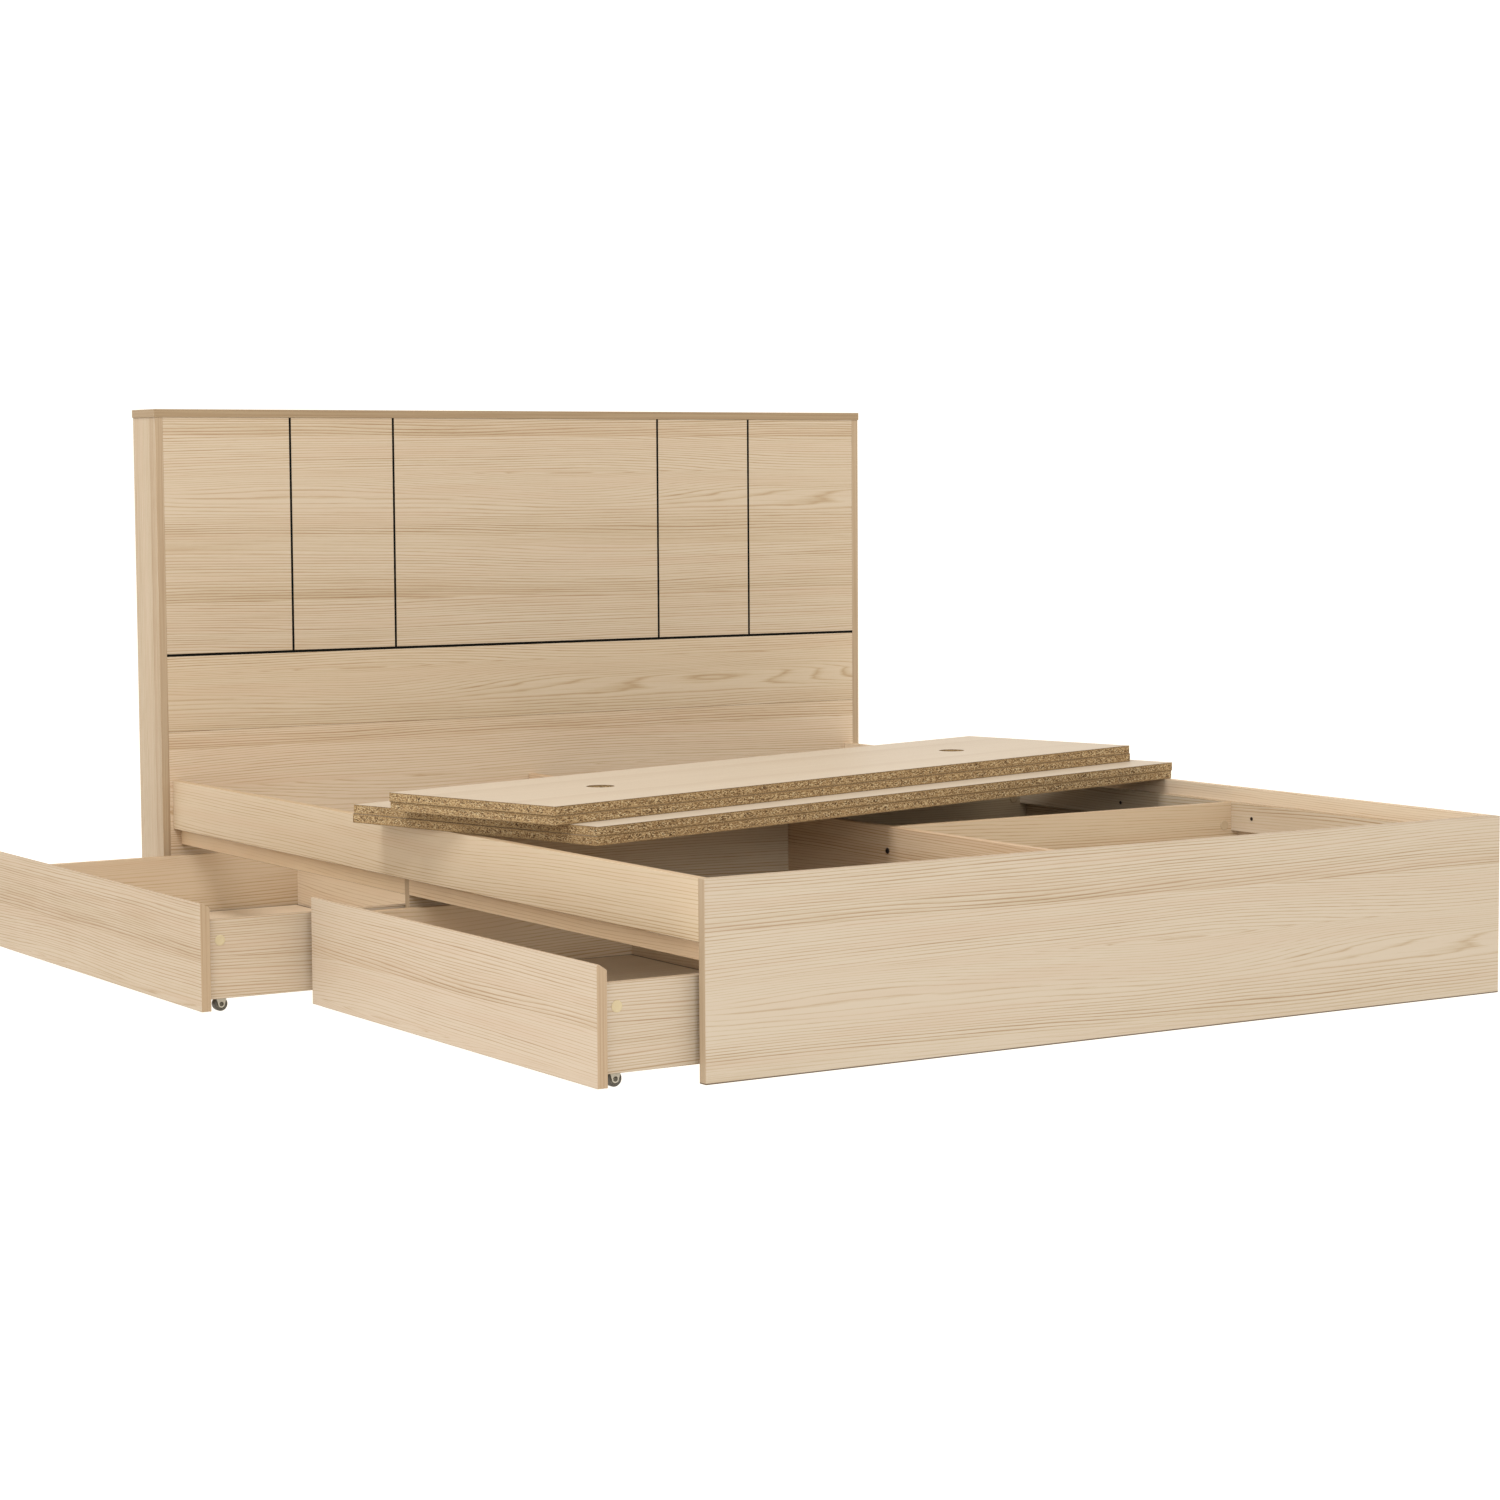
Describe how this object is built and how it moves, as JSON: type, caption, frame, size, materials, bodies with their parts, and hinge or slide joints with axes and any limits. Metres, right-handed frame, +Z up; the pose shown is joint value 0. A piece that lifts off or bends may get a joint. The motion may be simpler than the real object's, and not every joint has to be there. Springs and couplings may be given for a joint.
{
  "type": "storage bed",
  "caption": "Panel storage bed with a boxed headboard, roll-out drawers on casters under one side and loose deck boards stacked across the side rails.",
  "frame": {"origin": "on the floor, under the middle of the bed frame's inner space, on the centre spine's bottom face", "axes": "+X to the side without drawers, +Y to the headboard, +Z up"},
  "size_m": [2.049, 2.176, 1.063],
  "materials": {
    "ash_board": "light ash wood-print melamine on board, satin, with matching edge bands",
    "particle_board": "light printed faces with raw particle edges",
    "black_inlay": "black inlay strip, matte",
    "cam_cover": "pale stick-on cover",
    "fitting_metal": "zinc-plated",
    "dark_screw": "dark chipboard screw",
    "caster_metal": "plain stamped steel",
    "caster_wheel": "dark moulded plastic"
  },
  "bodies": {
    "bed_frame": {"footboard": "ash_board", "rail_left": "ash_board", "side_panel_right": "ash_board", "ledge_right": "ash_board", "apron_foot": "ash_board", "apron_head": "ash_board", "center_spine": "ash_board", "bay_divider": "ash_board", "cross_board_foot": "ash_board", "cross_board_head": "ash_board", "headboard_post_left": "ash_board", "headboard_post_right": "ash_board", "headboard_cap": "ash_board", "headboard_inlay_strips": "black_inlay", "headboard_lower_panel": "ash_board", "headboard_middle_panel": "ash_board", "headboard_upper_panel": "ash_board", "headboard_rib_left": "ash_board", "headboard_rib_right": "ash_board", "headboard_back_rail_top": "ash_board", "headboard_back_rail_bottom": "ash_board", "frame_cam_fittings": "fitting_metal", "frame_cam_covers": "cam_cover", "headboard_cam_fittings": "fitting_metal", "headboard_cam_covers": "cam_cover", "frame_side_screws": "dark_screw"},
    "drawer_foot": {"drawer_foot_front": "ash_board", "drawer_foot_side_foot": "ash_board", "drawer_foot_side_head": "ash_board", "drawer_foot_back": "ash_board", "drawer_foot_floor": "ash_board", "drawer_foot_cam_fittings": "fitting_metal", "drawer_foot_cam_covers": "cam_cover", "drawer_foot_back_screws": "dark_screw", "drawer_foot_caster_brackets": "caster_metal", "drawer_foot_caster_axles": "caster_metal", "drawer_foot_caster_screws": "caster_metal"},
    "drawer_foot_wheel_front_foot": {"drawer_foot_wheel_front_foot": "caster_wheel"},
    "drawer_foot_wheel_front_head": {"drawer_foot_wheel_front_head": "caster_wheel"},
    "drawer_foot_wheel_rear_foot": {"drawer_foot_wheel_rear_foot": "caster_wheel"},
    "drawer_foot_wheel_rear_head": {"drawer_foot_wheel_rear_head": "caster_wheel"},
    "drawer_head": {"drawer_head_front": "ash_board", "drawer_head_side_foot": "ash_board", "drawer_head_side_head": "ash_board", "drawer_head_back": "ash_board", "drawer_head_floor": "ash_board", "drawer_head_cam_fittings": "fitting_metal", "drawer_head_cam_covers": "cam_cover", "drawer_head_back_screws": "dark_screw", "drawer_head_caster_brackets": "caster_metal", "drawer_head_caster_axles": "caster_metal", "drawer_head_caster_screws": "caster_metal"},
    "drawer_head_wheel_front_foot": {"drawer_head_wheel_front_foot": "caster_wheel"},
    "drawer_head_wheel_front_head": {"drawer_head_wheel_front_head": "caster_wheel"},
    "drawer_head_wheel_rear_foot": {"drawer_head_wheel_rear_foot": "caster_wheel"},
    "drawer_head_wheel_rear_head": {"drawer_head_wheel_rear_head": "caster_wheel"},
    "deck_board_1": {"deck_board_1": "particle_board"},
    "deck_board_2": {"deck_board_2": "particle_board"},
    "deck_board_3": {"deck_board_3": "particle_board"},
    "deck_board_4": {"deck_board_4": "particle_board"}
  },
  "joints": [
    {"name": "drawer_foot_slide", "type": "slide", "parent": "bed_frame", "child": "drawer_foot", "axis": [-1, 0, 0], "range_m": [-0.1725, 0.435]},
    {"name": "drawer_foot_wheel_front_foot_spin", "type": "hinge", "parent": "drawer_foot", "child": "drawer_foot_wheel_front_foot", "pos_m": [-0.946, -0.9659, 0.0125], "axis": [0, 1, 0], "continuous": true},
    {"name": "drawer_foot_wheel_front_head_spin", "type": "hinge", "parent": "drawer_foot", "child": "drawer_foot_wheel_front_head", "pos_m": [-0.946, -0.0591, 0.0125], "axis": [0, 1, 0], "continuous": true},
    {"name": "drawer_foot_wheel_rear_foot_spin", "type": "hinge", "parent": "drawer_foot", "child": "drawer_foot_wheel_rear_foot", "pos_m": [-0.406, -0.9659, 0.0125], "axis": [0, 1, 0], "continuous": true},
    {"name": "drawer_foot_wheel_rear_head_spin", "type": "hinge", "parent": "drawer_foot", "child": "drawer_foot_wheel_rear_head", "pos_m": [-0.406, -0.0591, 0.0125], "axis": [0, 1, 0], "continuous": true},
    {"name": "drawer_head_slide", "type": "slide", "parent": "bed_frame", "child": "drawer_head", "axis": [-1, 0, 0], "range_m": [-0.3715, 0.236]},
    {"name": "drawer_head_wheel_front_foot_spin", "type": "hinge", "parent": "drawer_head", "child": "drawer_head_wheel_front_foot", "pos_m": [-1.145, 0.0591, 0.0125], "axis": [0, 1, 0], "continuous": true},
    {"name": "drawer_head_wheel_front_head_spin", "type": "hinge", "parent": "drawer_head", "child": "drawer_head_wheel_front_head", "pos_m": [-1.145, 0.9659, 0.0125], "axis": [0, 1, 0], "continuous": true},
    {"name": "drawer_head_wheel_rear_foot_spin", "type": "hinge", "parent": "drawer_head", "child": "drawer_head_wheel_rear_foot", "pos_m": [-0.605, 0.0591, 0.0125], "axis": [0, 1, 0], "continuous": true},
    {"name": "drawer_head_wheel_rear_head_spin", "type": "hinge", "parent": "drawer_head", "child": "drawer_head_wheel_rear_head", "pos_m": [-0.605, 0.9659, 0.0125], "axis": [0, 1, 0], "continuous": true},
    {"name": "deck_board_1_lift", "type": "slide", "parent": "bed_frame", "child": "deck_board_1", "axis": [0, 0, 1], "range_m": [0, 0.25]},
    {"name": "deck_board_2_lift", "type": "slide", "parent": "deck_board_1", "child": "deck_board_2", "axis": [0, 0, 1], "range_m": [0, 0.25]},
    {"name": "deck_board_3_lift", "type": "slide", "parent": "deck_board_2", "child": "deck_board_3", "axis": [0, 0, 1], "range_m": [0, 0.25]},
    {"name": "deck_board_4_lift", "type": "slide", "parent": "deck_board_3", "child": "deck_board_4", "axis": [0, 0, 1], "range_m": [0, 0.25]}
  ],
  "couplings": [
    {"joint": "drawer_foot_wheel_front_foot_spin", "follows": "drawer_foot_slide", "rad_per_m": -80},
    {"joint": "drawer_foot_wheel_front_head_spin", "follows": "drawer_foot_slide", "rad_per_m": -80},
    {"joint": "drawer_foot_wheel_rear_foot_spin", "follows": "drawer_foot_slide", "rad_per_m": -80},
    {"joint": "drawer_foot_wheel_rear_head_spin", "follows": "drawer_foot_slide", "rad_per_m": -80},
    {"joint": "drawer_head_wheel_front_foot_spin", "follows": "drawer_head_slide", "rad_per_m": -80},
    {"joint": "drawer_head_wheel_front_head_spin", "follows": "drawer_head_slide", "rad_per_m": -80},
    {"joint": "drawer_head_wheel_rear_foot_spin", "follows": "drawer_head_slide", "rad_per_m": -80},
    {"joint": "drawer_head_wheel_rear_head_spin", "follows": "drawer_head_slide", "rad_per_m": -80}
  ]
}
